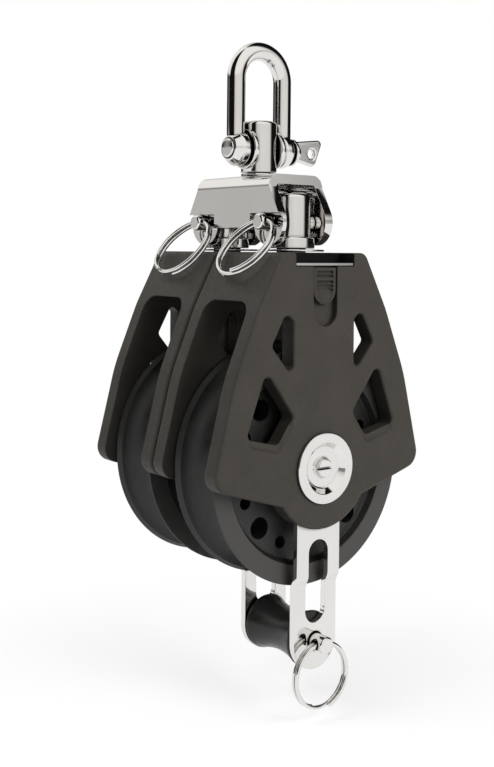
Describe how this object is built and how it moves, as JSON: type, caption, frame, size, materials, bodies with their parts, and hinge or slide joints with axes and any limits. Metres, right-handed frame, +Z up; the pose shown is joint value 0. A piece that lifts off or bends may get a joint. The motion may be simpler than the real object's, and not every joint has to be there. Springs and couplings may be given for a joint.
{
  "type": "sheave block",
  "caption": "Twin sheave block for boat rope, hung from a swivel shackle by a bent steel bracket, with a becket under one of its sheaves.",
  "frame": {"origin": "bearing point inside the crown of the shackle, where the load is hung, on the swivel axis", "axes": "+Z up towards the crown; X along the sheave axles, +X towards the block with the becket; -Y is the front, where the split rings of the clevis pins are"},
  "size_m": [0.0689, 0.0788, 0.2021],
  "materials": {
    "charcoal_nylon": "glass-filled nylon, moulded, fine matte texture",
    "black_acetal": "turned acetal, satin",
    "polished_steel": "mirror-polished stainless steel",
    "gloss_black": "moulded, semi-gloss"
  },
  "bodies": {
    "shackle": {"shackle_bow": "polished_steel"},
    "shackle_pin": {"shackle_pin": "polished_steel"},
    "swivel": {"swivel_post": "polished_steel", "swivel_upper_washer": "polished_steel", "swivel_lower_washer": "polished_steel", "swivel_nut": "polished_steel"},
    "bracket": {"head_bracket": "polished_steel", "left_clevis_pin": "polished_steel", "right_clevis_pin": "polished_steel"},
    "left_block": {"left_block_shell": "charcoal_nylon", "left_head_post": "polished_steel", "left_head_washer": "polished_steel", "left_head_nut": "polished_steel", "left_lock_plate": "polished_steel", "left_axle_tube": "polished_steel", "left_outer_axle_cap": "polished_steel", "left_inner_axle_cap": "polished_steel", "left_bearing_race": "polished_steel", "left_outer_spacer": "polished_steel", "left_inner_spacer": "polished_steel"},
    "right_block": {"right_block_shell": "charcoal_nylon", "right_head_post": "polished_steel", "right_head_washer": "polished_steel", "right_head_nut": "polished_steel", "right_lock_plate": "polished_steel", "right_axle_tube": "polished_steel", "right_outer_axle_cap": "polished_steel", "right_inner_axle_cap": "polished_steel", "right_bearing_race": "polished_steel", "becket_outer_strap": "polished_steel", "becket_inner_strap": "polished_steel", "becket_pin": "polished_steel"},
    "left_sheave": {"left_sheave": "black_acetal"},
    "left_bearing": {"left_roller_cage": "black_acetal", "left_outer_ball_cage": "black_acetal", "left_inner_ball_cage": "black_acetal"},
    "left_slider": {"left_lock_slider": "charcoal_nylon"},
    "left_ring": {"left_split_ring": "polished_steel"},
    "right_sheave": {"right_sheave": "black_acetal"},
    "right_bearing": {"right_roller_cage": "black_acetal", "right_outer_ball_cage": "black_acetal", "right_inner_ball_cage": "black_acetal"},
    "right_slider": {"right_lock_slider": "charcoal_nylon"},
    "right_ring": {"right_split_ring": "polished_steel"},
    "becket_spool": {"becket_spool": "gloss_black"},
    "becket_ring": {"becket_split_ring": "polished_steel"}
  },
  "joints": [
    {"name": "shackle_pin_slide", "type": "slide", "parent": "shackle", "child": "shackle_pin", "axis": [0, 1, 0], "range_m": [0, 0.021]},
    {"name": "shackle_swing", "type": "hinge", "parent": "shackle", "child": "swivel", "pos_m": [0, 0, -0.0286], "axis": [0, 1, 0], "range_deg": [-90, 90]},
    {"name": "swivel_turn", "type": "hinge", "parent": "swivel", "child": "bracket", "pos_m": [0, 0, -0.0373], "axis": [0, 0, 1], "continuous": true},
    {"name": "left_block_swing", "type": "hinge", "parent": "bracket", "child": "left_block", "pos_m": [-0.0165, 0, -0.0519], "axis": [0, 1, 0], "range_deg": [0, 8]},
    {"name": "left_sheave_spin", "type": "hinge", "parent": "left_block", "child": "left_sheave", "pos_m": [-0.0165, 0, -0.1248], "axis": [1, 0, 0], "continuous": true},
    {"name": "left_bearing_spin", "type": "hinge", "parent": "left_block", "child": "left_bearing", "pos_m": [-0.0165, 0, -0.1248], "axis": [1, 0, 0], "continuous": true},
    {"name": "left_lock_slide", "type": "slide", "parent": "left_block", "child": "left_slider", "axis": [0, 0, 1], "range_m": [-0.0062, 0]},
    {"name": "left_ring_swing", "type": "hinge", "parent": "bracket", "child": "left_ring", "pos_m": [-0.0165, -0.011, -0.0519], "axis": [-1, 0, 0], "range_deg": [0, 100]},
    {"name": "right_block_swing", "type": "hinge", "parent": "bracket", "child": "right_block", "pos_m": [0.0165, 0, -0.0519], "axis": [0, -1, 0], "range_deg": [0, 8]},
    {"name": "right_sheave_spin", "type": "hinge", "parent": "right_block", "child": "right_sheave", "pos_m": [0.0165, 0, -0.1248], "axis": [1, 0, 0], "continuous": true},
    {"name": "right_bearing_spin", "type": "hinge", "parent": "right_block", "child": "right_bearing", "pos_m": [0.0165, 0, -0.1248], "axis": [1, 0, 0], "continuous": true},
    {"name": "right_lock_slide", "type": "slide", "parent": "right_block", "child": "right_slider", "axis": [0, 0, 1], "range_m": [-0.0062, 0]},
    {"name": "right_ring_swing", "type": "hinge", "parent": "bracket", "child": "right_ring", "pos_m": [0.0165, -0.011, -0.0519], "axis": [-1, 0, 0], "range_deg": [0, 100]},
    {"name": "becket_spool_spin", "type": "hinge", "parent": "right_block", "child": "becket_spool", "pos_m": [0.0165, 0, -0.177], "axis": [1, 0, 0], "continuous": true},
    {"name": "becket_ring_swing", "type": "hinge", "parent": "right_block", "child": "becket_ring", "pos_m": [0.032, 0, -0.177], "axis": [0, -1, 0], "range_deg": [-20, 150]}
  ],
  "couplings": [
    {"joint": "left_bearing_spin", "follows": "left_sheave_spin", "ratio": 0.59},
    {"joint": "right_bearing_spin", "follows": "right_sheave_spin", "ratio": 0.59}
  ]
}
